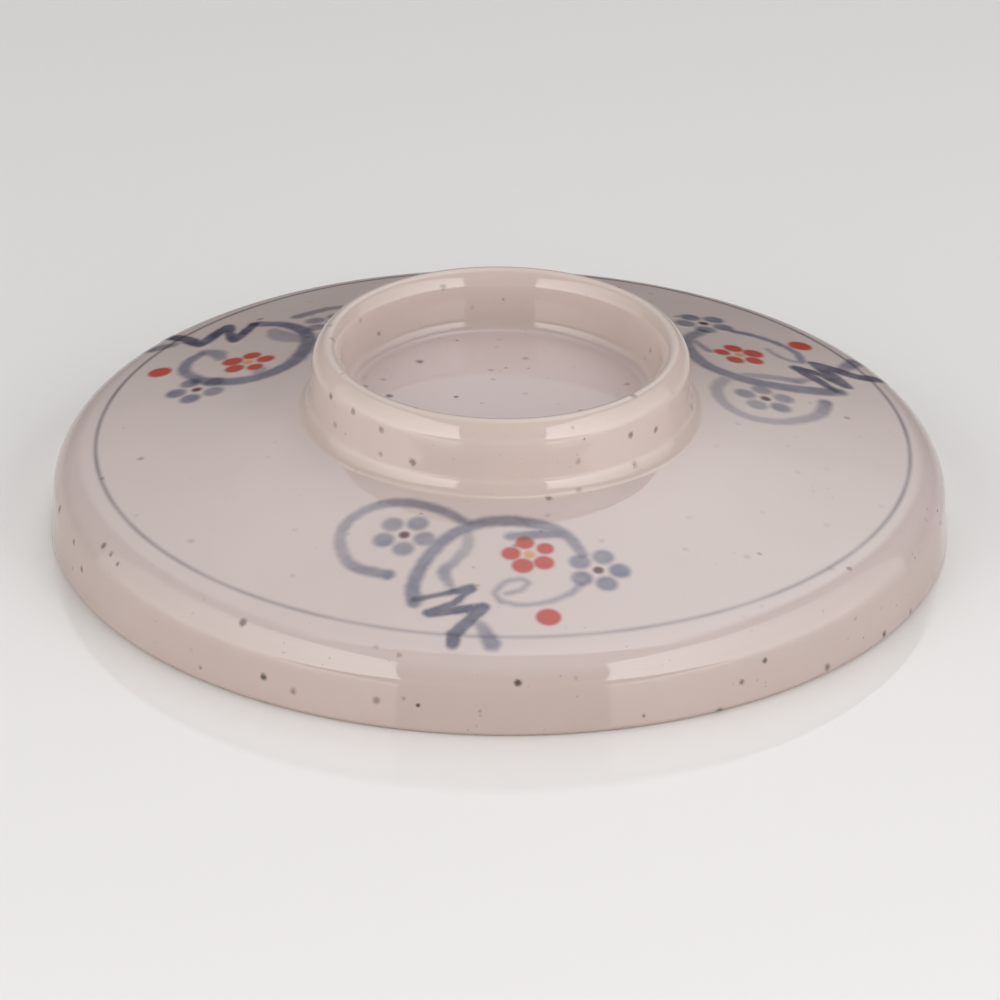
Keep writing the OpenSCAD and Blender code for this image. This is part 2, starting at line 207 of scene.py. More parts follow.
def turned(name, outline, angles=288):
    """Closed surface of revolution: every inner point of the outline becomes a ring, and its two ends, which lie on
    the axis, become the poles."""
    outline = with_rows(outline)
    radius, height = outline[1:-1].T
    angle = np.linspace(0, 2 * np.pi, angles, endpoint=False)
    rings = np.stack([np.outer(radius, np.cos(angle)), np.outer(radius, np.sin(angle)),
                      np.repeat(height[:, None], angles, 1)], -1).reshape(-1, 3)
    number = np.arange(len(rings)).reshape(-1, angles)
    beside = np.roll(number, -1, 1)
    quads = np.stack([number[:-1], number[1:], beside[1:], beside[:-1]], -1).reshape(-1, 4)
    first, last = len(rings), len(rings) + 1
    top = np.column_stack([np.full(angles, first), number[0], beside[0]])
    low = np.column_stack([np.full(angles, last), beside[-1], number[-1]])
    poles = [[0, 0, outline[0, 1]], [0, 0, outline[-1, 1]]]
    return as_piece(name, np.vstack([rings, poles]), quads.tolist() + top.tolist() + low.tolist(), keep_sharp=0.6)


def outside(corners):
    """Outline from the axis over ring, dome and skirt to the glaze's lower edge on the rounding of the rim."""
    upper = corners[: rim_at + 1].copy()
    upper[-1, 2] = 0
    flat = corners[:, :2]
    rim = arc(flat[rim_at - 1], flat[rim_at], flat[rim_at + 1], corners[rim_at, 2], glaze_wrap)
    return np.vstack([rounded(upper)[:-1], rim])


def inside(corners):
    """Outline from the edge of the bare band under the dome to the axis."""
    p, q = corners[under_at, :2], corners[under_at + 1, :2]
    edge = p + (q - p) * (seat_r - bare_band - p[0]) / (q[0] - p[0])
    return rounded(np.vstack([[*edge, 0], corners[under_at + 1 :]]))


clay = turned("thrown_clay", rounded(clay_corners))
outer_glaze = turned("poured_outer_glaze", np.vstack([outside(lid_corners), outside(clay_corners)[::-1]]))
inner_glaze = turned("poured_inner_glaze", np.vstack([inside(clay_corners)[::-1], inside(lid_corners)]))
for piece, node, slot in ((clay, "clay_body", "bare_clay"), (outer_glaze, "outer_glaze", "cream_glaze"),
                          (inner_glaze, "inner_glaze", "cream_glaze")):
    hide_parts(node)
    print(piece.name, len(piece.data.polygons), "faces")

# %% [markdown]
# ## Brush strokes as lists of points
# The painter draws each spray with a few strokes of a loaded brush: a scroll, an arching stem, a shoot, a tendril
# that ends in a curl, short dabs for leaf and calyx, and a dark zigzag twig across the line. Every point is the
# distance along the line, the distance in from the line and the width of the stroke there. The three sprays are
# painted by hand, so each has its own points. A list of points is easy to compare with the picture and to correct.

# %% Points of the strokes: front, right and left spray
line_r, line_w, shift = 72.4, 0.7, np.array([0.5, 0.5])
spray_names = ("front", "right", "left")
scroll = (
    [[-5.9, 29.6, 2], [-10.5, 33.4, 2.2], [-16.8, 36, 2.4], [-22.5, 35.4, 2.2], [-26.8, 31.6, 2.1], [-27.8, 25.9, 2.1],
     [-25.5, 19.6, 2.4], [-19.5, 16.7, 2.6]],
    [[-6.4, 30.2, 2.2], [-10, 34.2, 2.4], [-15.5, 36.2, 2.4], [-20.6, 34.8, 2.4], [-23.2, 30.4, 2.4], [-23.3, 25, 2.4],
     [-21.3, 19.3, 2.5], [-17.1, 15.6, 2.6]],
    [[-7.4, 29.4, 2], [-12, 33.2, 2.2], [-18.3, 35.8, 2.4], [-24, 35.2, 2.2], [-28.3, 31.4, 2.1], [-29.3, 25.7, 2.1],
     [-27, 20, 2.4], [-21.1, 16.5, 2.6]],
)
stem = (
    [[-14.8, 9, 2.6], [-15, 14, 2.6], [-12.7, 20.8, 2.5], [-8.6, 26.7, 2.6], [-2.3, 30.1, 2.8], [4.5, 30.1, 2.8],
     [10.5, 27.8, 2.4], [13.9, 22.4, 2]],
    [[-13, 10.2, 3.2], [-12.6, 14, 3.4], [-10.6, 20, 3.4], [-7, 26.2, 3.4], [-1, 30.2, 3.2], [6, 30, 3],
     [12.5, 26.8, 2.6], [16.6, 21, 2.4]],
    [[-15.7, 10.6, 2.8], [-16.4, 15.7, 2.8], [-14.2, 21.3, 2.8], [-9.5, 25.9, 3], [-3.2, 28.7, 3.2], [3, 29.5, 3.4],
     [8.5, 27.2, 3.4], [11.4, 22.7, 3.4], [11.8, 16.1, 3]],
)
shoot = (
    [[-5.9, 28, 1.8], [-6, 23.4, 2.2], [-8.2, 19.4, 2], [-9.8, 16.9, 2.4], [-8.3, 12.4, 1.2]],
    [[-5, 25.6, 2], [-5.7, 22, 2.4], [-6.8, 18.8, 2.2], [-8, 16.1, 2.4], [-7.5, 12.9, 1.4]],
    [[-9.1, 24.3, 3.4], [-10, 20.6, 4.4], [-11.4, 17.9, 3.6], [-13.2, 16.1, 2]],
)
tendril = (
    [[13.5, 14.1, 1.4], [11.8, 11.9, 1.3], [8, 9.4, 1.2], [3.5, 8.4, 1.1], [0, 9.2, 1.2]],
    [[15.9, 14.7, 1.8], [13.6, 12, 1.8], [9.3, 9.5, 1.7], [4.5, 8.4, 1.7], [0.2, 9.9, 1.6]],
    [[11.3, 15.6, 2.6], [9.1, 11.4, 2.4], [6.4, 9.4, 2.4], [3.2, 8.7, 2.4], [0, 9.2, 2.2]],
)
curl = (
    [[0, 9.2, 1.2], [-1, 11.4, 1.2], [0.6, 14.1, 1.1], [3.2, 15.1, 1.2], [4.5, 14.1, 1.2], [3.2, 12.2, 1.1],
     [0.8, 11.2, 1]],
    [[0.2, 9.9, 1.6], [0.7, 11.6, 1.4], [2.3, 12.7, 1.3], [4.1, 13.3, 1.3], [6.4, 13.3, 1.3]],
    [[-0.8, 9, 2.2], [-0.4, 12, 3.2], [1.8, 14.3, 2.2]],
)
leaf = (
    [[1.5, 26.3, 2.2], [10, 27.6, 2.4]],
    [[6.4, 25.9, 1.6], [11.4, 25.9, 1.6]],
    [[5.9, 25.4, 2.4], [9.6, 26.5, 2.4]],
)
calyx = (
    [[-3.4, 3, 2.2], [-1.4, -1.8, 3.2]],
    [[-3.6, 3.4, 2.6], [-0.5, -1.2, 3.2]],
    [[-3.4, 0.6, 2.6], [-0.9, -2, 3]],
)
twig = (
    [[-14.6, 9.8, 1.4], [-5.3, 12.4, 2.4], [-7.8, 8.7, 1.7], [-12.2, 6.2, 2.4], [-3, 7.5, 2.5], [-7.9, 0.6, 2.7],
     [-8.1, -1.7, 2.5]],
    [[-12.7, 10.6, 1.6], [-2.5, 12.9, 2.4], [-5.9, 9.3, 2], [-10.9, 7.2, 2.4], [-0.9, 7.9, 2.5], [-7.3, 2.4, 2.4],
     [-8.4, -1.2, 2.4]],
    [[-15.7, 10.6, 1.8], [-6.8, 11.8, 2.2], [-10.4, 8.4, 1.8], [-13.6, 6.1, 2.4], [-3.9, 6.3, 2.4], [-6.3, 1.5, 2.6],
     [-7, -2, 2.4]],
)
coral_at, coral_turn = ([4.8, 21.6], [4.1, 20.8], [3, 20.8]), (33, 62, 55)
left_blue_at, left_blue_turn = ([-16.8, 27.1], [-14.9, 26.9], [-19.2, 25]), (52, 52, 52)
right_blue_at, right_blue_turn = ([16.6, 18.4], [20.7, 18.4], [15.5, 17.8]), (5, 11, 14)
berry_at = ([8.1, 5.4], [7.8, 5.5], [9.2, 5.9])
curves = {"scroll": scroll, "stem": stem, "shoot": shoot, "tendril": tendril, "curl": curl, "leaf": leaf,
          "calyx": calyx}
print("points in the strokes:", sum(len(one) for kind in (*curves.values(), twig) for one in kind))

# %% [markdown]
# ## How much colour lies where
# Colour from a wet brush is strongest in the middle of the stroke and fades over a few tenths of a millimetre at its
# edge. It also runs thin or pools along the way. So each stroke has a row of strengths from its start to its end, and
# each point of the lid can ask how much of every colour lies there: the nearest place on the stroke's middle line
# gives the distance, and a smooth step across the edge gives the amount. Washes that cross melt into each other, so
# they come out only a little darker there than the stronger one alone.

# %% Strokes with their strengths
wash_strength = {
    "scroll": ((0.72, 0.75, 0.6, 0.56, 0.86), (0.5, 0.5, 0.5, 0.52, 0.84), (0.65, 0.6, 0.6, 0.6, 0.7)),
    "stem": ((0.96, 0.84, 0.78, 0.8, 0.7), (0.92, 0.88, 0.8, 0.76, 0.72), (0.88, 0.92, 0.88, 0.84, 0.84)),
    "shoot": ((0.4, 0.44, 0.52, 0.74, 0.5), (0.45, 0.5, 0.62, 0.7, 0.55), (0.5, 0.55, 0.45)),
    "tendril": ((0.6, 0.54, 0.54), (0.85, 0.8, 0.72), (0.84, 0.84, 0.8)),
    "curl": ((0.6, 0.56, 0.54), (0.62, 0.56, 0.52), (0.66, 0.7, 0.56)),
    "leaf": ((0.66, 0.78, 0.84), (0.7, 0.7, 0.6), (0.5, 0.5, 0.5)),
    "calyx": ((0.6, 0.72, 0.74), (0.65, 0.76, 0.8), (0.65, 0.76, 0.8)),
}
feather, crisp, spare = 0.7, 0.5, 0.2  # soft edge of a stroke, soft edge of a dab, bare border of a film


def smooth_path(points, steps=10):
    """Catmull-Rom curve through the points: between two of them it is a cubic whose slope at each point is half the
    way from the point before to the point after. The width runs along as a third number."""
    p = np.asarray(points, float)
    if len(p) == 2:
        return p[0] + (p[1] - p[0]) * np.linspace(0, 1, steps + 1)[:, None]
    before, start, end, after = np.vstack([p[:1], p[:-2]]), p[:-1], p[1:], np.vstack([p[2:], p[-1:]])
    t = np.linspace(0, 1, steps, endpoint=False)[None, :, None]
    before, start, end, after = (q[:, None, :] for q in (before, start, end, after))
    path = (2 * start + (end - before) * t + (2 * before - 5 * start + 4 * end - after) * t**2
            + (3 * start - before - 3 * end + after) * t**3) / 2
    return np.vstack([path.reshape(-1, 3), p[-1:]])


def waisted(points, slim):
    """Straight stroke between two points that is slimmer half way, where the brush moves fastest. A slow brush leaves
    more colour there, and slim is then negative."""
    path = smooth_path(points)
    path[:, 2] *= 1 - slim * np.sin(np.pi * np.linspace(0, 1, len(path)))
    return path


def smooth_edge(depth, soft):
    """Smooth step from 0 to 1 while the depth inside an edge goes from -soft to soft."""
    edge = np.clip(depth / soft * 0.5 + 0.5, 0, 1)
    return edge**2 * (3 - 2 * edge)


def stroke_amount(at, path, strength, soft=feather):
    """Amount of one stroke's colour at plan points: strength times a smooth step from 1 to 0 across the edge, at the
    nearest place on the path's straight pieces."""
    a, b = path[:-1, :2], path[1:, :2]
    step = b - a
    share = np.clip(((at[:, None] - a) * step).sum(-1) / (step**2).sum(-1), 0, 1)
    gap = np.linalg.norm(at[:, None] - a - step * share[..., None], axis=-1)
    half = (path[:-1, 2] + (path[1:, 2] - path[:-1, 2]) * share) / 2
    nearest = np.argmin(gap - half, axis=1)
    row = np.arange(len(at))
    place = (nearest + share[row, nearest]) / len(a)
    load = np.interp(place, np.linspace(0, 1, len(strength)), strength)
    return smooth_edge(half[row, nearest] - gap[row, nearest], soft) * load


def dab_amount(at, middle, radius, strength, soft=crisp):
    """Amount of a round dab's colour: the smooth step across its edge."""
    return smooth_edge(radius - np.linalg.norm(at - middle, axis=-1), soft) * strength


def petals(middle, turn, out):
    """Middles of five petals, a fifth of a turn apart on a circle."""
    angle = np.radians(turn + 72 * np.arange(5))
    return np.asarray(middle) + out * np.column_stack([np.cos(angle), np.sin(angle)])


coral_out, blue_out = 3.2, 3.7
coral_petals = [petals(coral_at[k], coral_turn[k], coral_out) for k in range(3)]
blue_petals = [np.vstack([petals(left_blue_at[k], left_blue_turn[k], blue_out),
                          petals(right_blue_at[k], right_blue_turn[k], blue_out)]) for k in range(3)]
blue_strength = np.array([0.76, 0.66, 0.8, 0.68, 0.72, 0.88, 0.8, 0.76, 0.84, 0.9])
twig_slim = ((0.3, 0.3, 0.05, 0.05, 0.05, 0.05), (-0.25,) * 6, (-0.2,) * 6)
twig_strength, twig_soft = (0.92, 0.92), 0.5
coral_size = (0.9, 0.98, 1.0, 1.14, 1.06)
coral_strength, berry_strength, heart_strength = 0.965, 0.98, 1.0
coral_r, blue_r, yellow_r, brown_r, berry_r, blue_spread = 1.7, 1.8, 1.0, 0.95, 2.2, 0.1
print("strokes to a spray:", len(curves), "and", len(twig[0]) - 1, "pieces of twig; petals:", len(blue_petals[0]) + 5)


# %% All the colours at a point of the lid
def spray_turn(k):
    """Matrix that turns the front spray to spray k, a third of a turn further each."""
    c, s = np.cos(2 * np.pi * k / 3), np.sin(2 * np.pi * k / 3)
    return np.array([[c, -s], [s, c]])


sway_mm, spray_side, spray_low, spray_high = 0.05, 36, -8, 42  # sway of the hand, and the box round a spray


def colours_at(plan):
    """Amounts of wash, twig blue, petal blue, coral, yellow, brown and the line's grey at plan points of the lid, in
    that order. Where two washes cross, the stronger one counts and the other adds a third of what it would alone.
    Slow waves push the strokes about by a twentieth of a millimetre, because no hand draws a true curve. The line is
    drawn on the wheel, which keeps it true, with a brush that is wettest at the front."""
    x, y = plan.T
    sway = sway_mm * np.column_stack([np.sin(1.7 * x + 1.1 * y) + np.sin(3.1 * y - 0.8 * x),
                                      np.sin(1.9 * y - 1.3 * x + 2) + np.sin(2.9 * x + 0.9 * y)])
    clear = np.ones((len(plan), 7))
    ring_gap = np.abs(np.linalg.norm(plan - shift, axis=1) - line_r)
    angle = np.arctan2(*(plan - shift).T)
    wet = (0.5 - 0.5 * np.cos(angle)) ** 2
    uneven = 0.1 * np.sin(9 * angle + 1) * np.sin(23 * angle)
    clear[:, 6] = 1 - smooth_edge(line_w / 2 - ring_gap, 0.35 + 0.3 * wet) * (0.9 - 0.34 * wet + uneven)
    for k in range(3):
        local = (plan - shift) @ spray_turn(k) + [0, line_r]
        near = np.flatnonzero((np.abs(local[:, 0]) < spray_side) & (local[:, 1] > spray_low)
                              & (local[:, 1] < spray_high))
        if not len(near):
            continue
        at, swayed = local[near], local[near] + sway[near]
        for name, curve in curves.items():
            amount = stroke_amount(swayed, smooth_path(curve[k]), wash_strength[name][k])
            below = clear[near, 0]
            clear[near, 0] = np.minimum(below, 1 - amount) * (1 - np.minimum(1 - below, amount) / 3)
        for i in range(len(twig[k]) - 1):
            path = waisted(twig[k][i : i + 2], twig_slim[k][i])
            amount = stroke_amount(swayed, path, twig_strength, twig_soft)
            clear[near, 1] = np.minimum(clear[near, 1], 1 - amount)
        for middle, strength in zip(blue_petals[k], blue_strength):
            clear[near, 2] *= 1 - dab_amount(at, middle, blue_r + blue_spread, strength, feather)
        for middle, size in zip(coral_petals[k], coral_size):
            clear[near, 3] *= 1 - dab_amount(at, middle, coral_r * size, coral_strength)
        clear[near, 3] *= 1 - dab_amount(at, np.array(berry_at[k]), berry_r, berry_strength)
        clear[near, 4] *= 1 - dab_amount(at, np.array(coral_at[k]), yellow_r, heart_strength)
        for middle in (left_blue_at[k], right_blue_at[k]):
            clear[near, 5] *= 1 - dab_amount(at, np.array(middle), brown_r, heart_strength)
    return 1 - clear


front_berry = np.array([[berry_at[0][0], berry_at[0][1] - line_r]]) + shift
print("colours in the middle of the front berry:", np.round(colours_at(front_berry), 2))

# %% [markdown]
# ## Colour as a thin film
# Painted colour is a film of enamel that melts onto the glaze, only hundredths of a millimetre thick. A stroke's film
# is a grid: rows follow the brush, columns go across it, and round ends close it. A petal is a square grid pressed
# into a circle, which needs no pole in the middle. Both are laid on the dome by looking up the dome's height at each
# radius, and lifted along its normal. Films that cross lie at slightly different heights, as one coat lies on another.

# %% Laying a film on the dome
dome = with_rows(outside(lid_corners), 0.2)
dome_from = ring_base_r + 2
dome = dome[np.argmax(dome[:, 0] > dome_from):]
dome = dome[: np.argmax(dome[:, 0]) + 1]
slope = np.gradient(dome[:, 1], dome[:, 0])


def on_dome(plan, lift):
    """Points at a height over the glaze, and the normals there: the outline gives height and slope at the radius, the
    normal is (-slope, 1) scaled to length 1, and the point moves along it."""
    radius = np.linalg.norm(plan, axis=1)
    tilt = np.interp(radius, dome[:, 0], slope)
    normal = np.column_stack([-plan * (tilt / radius)[:, None], np.ones(len(plan))]) / np.sqrt(1 + tilt**2)[:, None]
    foot = np.column_stack([plan, np.interp(radius, dome[:, 0], dome[:, 1])])
    return foot + normal * np.reshape(lift, (-1, 1)), normal


round_end = np.radians([6, 18, 32, 46, 60, 75])  # angles of the rows in a round end


def stroke_grid(path, across=19, bend_share=0.85):
    """Plan grid of a stroke: its path, with a half circle of rows at each end, times steps from its right edge to its
    left edge. Half the width and the feather give the reach, and at the round ends the reach is that times a sine. In
    the hollow of a bend the reach stays under the bend's radius, pace / turn, so that the grid can't fold over."""
    middle, half, extra = path[:, :2], path[:, 2] / 2 + feather + spare, len(round_end)
    way = np.gradient(middle, axis=0)
    pace = np.linalg.norm(way, axis=1)
    way /= pace[:, None]
    bend = np.pad(cross(way, np.gradient(way, axis=0)) / pace, extra)
    first = middle[0] - way[0] * half[0] * np.cos(round_end)[:, None]
    last = (middle[-1] + way[-1] * half[-1] * np.cos(round_end)[:, None])[::-1]
    middle = np.vstack([first, middle, last])
    way = np.vstack([np.repeat(way[:1], extra, 0), way, np.repeat(way[-1:], extra, 0)])
    half = np.concatenate([half[0] * np.sin(round_end), half, half[-1] * np.sin(round_end)[::-1]])
    left = np.column_stack([-way[:, 1], way[:, 0]])
    steps = np.linspace(-1, 1, across)
    room = bend_share / np.maximum(bend[:, None] * np.sign(steps), 0.01)
    reach = np.minimum(half[:, None], room) * steps
    return middle[:, None] + left[:, None] * reach[..., None]


def dab_grid(middle, radius, across=33):
    """Plan grid of a round dab: a square grid pressed into a circle, x = u * sqrt(1 - v*v/2) and
    y = v * sqrt(1 - u*u/2)."""
    u, v = np.meshgrid(np.linspace(-1, 1, across), np.linspace(-1, 1, across), indexing="ij")
    disc = np.stack([u * np.sqrt(1 - v**2 / 2), v * np.sqrt(1 - u**2 / 2)], -1)
    return np.asarray(middle) + (radius + feather + spare) * disc


def film_faces(rows, columns, loop):
    """Faces of a closed film: the upper grid, the lower grid turned over, and the wall round them. A loop joins its
    last row to its first and needs no end walls."""
    top = np.arange(rows * columns).reshape(rows, columns)
    top = np.vstack([top, top[:1]]) if loop else top
    low = top + rows * columns

    def wall(edge_top, edge_low):
        return np.column_stack([edge_top[:-1], edge_low[:-1], edge_low[1:], edge_top[1:]])

    def sheet(grid):
        return np.stack([grid[:-1, :-1], grid[1:, :-1], grid[1:, 1:], grid[:-1, 1:]], -1).reshape(-1, 4)

    walls = [wall(top[:, 0], low[:, 0]), wall(top[::-1, -1], low[::-1, -1])]
    if not loop:
        walls += [wall(top[0, ::-1], low[0, ::-1]), wall(top[-1], low[-1])]
    return np.vstack([sheet(top), sheet(low)[:, ::-1], *walls])


film_step, film_climb, sink = 0.003, 0.0025, 0.01  # rise from film to film, rise along a film, depth of its border


def painted(name, grids, lift, node, loop=False):
    """One painted piece from its plan grids. Film number i lies a little higher than film i - 1 and climbs a little
    on its way, so that a curl can close over its own start. Its border dips under the glaze, and it takes the dome's
    normals, so that the gloss runs on without an edge. Every point carries the amounts of all the colours there."""
    points, normals, faces, plans, base = [], [], [], [], 0
    for i, grid in enumerate(grids):
        climb = np.zeros(len(grid)) if loop else np.linspace(0, film_climb, len(grid))
        lifts = np.repeat(lift + film_step * i + climb[:, None], grid.shape[1], 1)
        lifts[:, [0, -1]] = -sink
        lifts[[0, -1]] = lifts[[0, -1]] if loop else -sink
        flat = grid.reshape(-1, 2)
        for height, side in ((lifts, 1), (-2 * sink, -1)):
            point, normal = on_dome(flat, height)
            points.append(point)
            normals.append(normal * side)
            plans.append(flat)
        faces.append(film_faces(*grid.shape[:2], loop) + base)
        base += 2 * len(flat)
    piece = as_piece(name, np.vstack(points), np.vstack(faces).tolist())
    piece.data.normals_split_custom_set_from_vertices(np.vstack(normals).tolist())
    amounts = colours_at(np.vstack(plans))
    for label, columns in (("brushed", [0, 1, 2]), ("dabbed", [3, 4, 5]), ("ruled", [6, 6, 6])):
        layer = piece.data.attributes.new(label, "FLOAT_VECTOR", "POINT")
        layer.data.foreach_set("vector", amounts[:, columns].ravel().astype(np.float32))
    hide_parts(node)
    return piece


def placed(grid, k):
    """Grid of spray k in the plan of the lid: down to the line, a turn about the axis, and the painter's offset."""
    return (grid - [0, line_r]) @ spray_turn(k).T + shift


print("dome outline for the films:", len(dome), "points, radius", np.round(dome[[0, -1], 0], 2))

# %% The three sprays and the line
film_lift = {"vine": 0.02, "twig": 0.075, "coral_petals": 0.055, "yellow_heart": 0.05, "blue_petals": 0.042,
             "brown_hearts": 0.075, "berry": 0.055, "line": 0.014}
film_slot = {"vine": "vine_wash", "twig": "twig_blue", "coral_petals": "coral_enamel", "yellow_heart": "yellow_enamel",
             "blue_petals": "petal_blue", "brown_hearts": "brown_enamel", "berry": "coral_enamel", "line": "vine_wash"}
painted_pieces = []
for k, spray in enumerate(spray_names):
    kinds = {
        "vine": [stroke_grid(smooth_path(curve[k])) for curve in curves.values()],
        "twig": [stroke_grid(smooth_path(twig[k][i : i + 2])) for i in range(len(twig[k]) - 1)],
        "coral_petals": [dab_grid(middle, coral_r) for middle in coral_petals[k]],
        "yellow_heart": [dab_grid(coral_at[k], yellow_r)],
        "blue_petals": [dab_grid(middle, blue_r) for middle in blue_petals[k]],
        "brown_hearts": [dab_grid(at[k], brown_r) for at in (left_blue_at, right_blue_at)],
        "berry": [dab_grid(berry_at[k], berry_r)],
    }
    for kind, grids in kinds.items():
        grids, node_name = [placed(grid, k) for grid in grids], f"{spray}_{kind}"
        piece = painted(f"brushed_{node_name}", grids, film_lift[kind], node_name)
        painted_pieces.append((piece, film_slot[kind]))
line_rows, line_columns = 720, 13
round_angle = np.linspace(0, 2 * np.pi, line_rows, endpoint=False)[::-1]
reach = line_r + np.linspace(-1, 1, line_columns) * (line_w / 2 + feather)
line_grid = shift + np.stack([np.outer(np.cos(round_angle), reach), np.outer(np.sin(round_angle), reach)], -1)
piece = painted("brushed_line", [line_grid], film_lift["line"], "painted_line", loop=True)
painted_pieces.append((piece, film_slot["line"]))
print("painted pieces:", len(painted_pieces), "with", sum(len(p.data.polygons) for p, _ in painted_pieces), "faces")

# %% [markdown]
# ## The speckled glaze
# Iron grains in the clay burn through a pale glaze as brown specks. A Voronoi texture scatters one point in each cell
# of space: near the point the glaze is dark. Each cell's own random colour decides how large, how dark and how red its
# speck is, and a little noise in the coordinates makes it ragged. The pattern reads Object coordinates, which all
# pieces share, so a speck runs on from the glaze into a painted film without a seam.
#
# A dipped glaze is not equally thick all over: it runs thin on the skirt, which shows more specks there, and lies
# thick on the dome, which hides most of them. The colour also carries painted light and shade: it is painted lighter
# in the well, for light that its floor and inner wall reflect and bounce, lighter and warmer on the ring, for light
# that glows through its thin wall, and darker on the skirt, as painted shade.


# %% Node helpers
def new_material(name):
    """Empty node material with a shader and an output. Returns the material, its tree and the shader."""
    material = bpy.data.materials.new(name)
    material.use_nodes = True
    tree = material.node_tree
    return material, tree, tree.nodes["Principled BSDF"]


def node(tree, kind, inputs=(), **settings):
    """New node with settings and inputs. An input is a socket to link from, or a constant."""
    made = tree.nodes.new(kind)
    for key, value in settings.items():
        setattr(made, key, value)
    for key, value in dict(inputs).items():
        if isinstance(value, bpy.types.NodeSocket):
            tree.links.new(value, made.inputs[key])
        else:
            made.inputs[key].default_value = value
    return made


def ramp(tree, value, low, high, to_low=0.0, to_high=1.0):
    """Smooth step of a value from low to high, onto to_low to to_high."""
    return node(tree, "ShaderNodeMapRange", {0: value, 1: low, 2: high, 3: to_low, 4: to_high},
                interpolation_type="SMOOTHSTEP").outputs[0]


def blend(tree, factor, first, second):
    """Colour between the first and the second, as factor says."""
    return node(tree, "ShaderNodeMix", {0: factor, 6: (*first, 1), 7: (*second, 1)}, data_type="RGBA").outputs[2]


def tint(tree, base, factor, colour):
    """Base colour multiplied by another colour, as much as factor says."""
    mix = node(tree, "ShaderNodeMix", {0: factor, 6: base}, data_type="RGBA", blend_type="MULTIPLY")
    if isinstance(colour, bpy.types.NodeSocket):
        tree.links.new(colour, mix.inputs[7])
    else:
        mix.inputs[7].default_value = (*colour, 1)
    return mix.outputs[2]


def math(tree, operation, *values):
    """One arithmetic step on two or three values."""
    return node(tree, "ShaderNodeMath", enumerate(values), operation=operation).outputs[0]


def vector_math(tree, operation, *values):
    """One arithmetic step on vectors."""
    return node(tree, "ShaderNodeVectorMath", enumerate(values), operation=operation)


def zone(tree, first, first_ends, second, second_ends):
    """Part of the lid: the product of two smooth steps, each from no effect to full effect between its two ends."""
    return math(tree, "MULTIPLY", ramp(tree, first, *first_ends), ramp(tree, second, *second_ends))


def object_place(tree):
    """Object coordinates in metres."""
    return node(tree, "ShaderNodeTexCoord").outputs["Object"]


def noise(tree, where, scale, detail=2.0, output="Fac"):
    """Cloudy values about 0.5. Scale is the number of clouds in a metre, and detail adds finer ones."""
    return node(tree, "ShaderNodeTexNoise", {"Vector": where, "Scale": scale, "Detail": detail}).outputs[output]


print("a smooth step, a blend, a tint, a zone and a noise are ready to link")


# %% Cream with specks
CREAM_PALE, CREAM_DEEP = (0.568, 0.476, 0.452), (0.545, 0.456, 0.432)
# Tints of painted light in the well, painted glow on the ring and painted shade on the skirt.
PAINTED_LIGHT_IN_WELL, PAINTED_GLOW_ON_RING, PAINTED_SHADE_ON_SKIRT = (1.15, 1.13, 1.15), (1.05, 1.035, 0.985), (0.862, 0.825, 0.796)
IRON_BROWN, IRON_RED = (0.12, 0.085, 0.08), (0.3, 0.085, 0.06)
# Each zone grows from no effect to full effect between two radii or heights, in metres.
WELL_RADIUS, WELL_HEIGHT = (0.0285, 0.0255), (0.0225, 0.024)
RING_INNER, RING_OUTER = (0.026, 0.0285), (0.0375, 0.035)
SKIRT_RADIUS, SKIRT_HEIGHT = (0.072, 0.076), (0.0135, 0.0085)
DOME_INNER, DOME_OUTER = (0.0355, 0.038), (0.0765, 0.0725)
# Each layer of specks has its cells to a metre, its least and most radius in a cell, and its darkness.
SPECK_LAYERS = ((208.0, 0.08, 0.24, 0.95), (360.0, 0.05, 0.13, 0.35))
RAGGED = 0.0005


def specks(tree, place, hidden, scale, least, most):
    """Dark amount and redness of a layer of specks. In a cell of 1/scale metres, the speck's radius lies between
    least and most of the cell. What the glaze hides comes off the strength of every speck."""
    cells = node(tree, "ShaderNodeTexVoronoi", {"Vector": place, "Scale": scale})
    chance = node(tree, "ShaderNodeSeparateColor", {0: cells.outputs["Color"]})
    size = node(tree, "ShaderNodeMapRange", {0: chance.outputs[0], 3: least, 4: most}).outputs[0]
    inside_speck = ramp(tree, math(tree, "DIVIDE", cells.outputs["Distance"], size), 1.0, 0.25)
    strength = node(tree, "ShaderNodeMapRange", {0: chance.outputs[1], 3: 0.3, 4: 1.0}).outputs[0]
    strength = node(tree, "ShaderNodeMath", {0: strength, 1: hidden}, operation="SUBTRACT", use_clamp=True).outputs[0]
    return math(tree, "MULTIPLY", inside_speck, strength), chance.outputs[2]


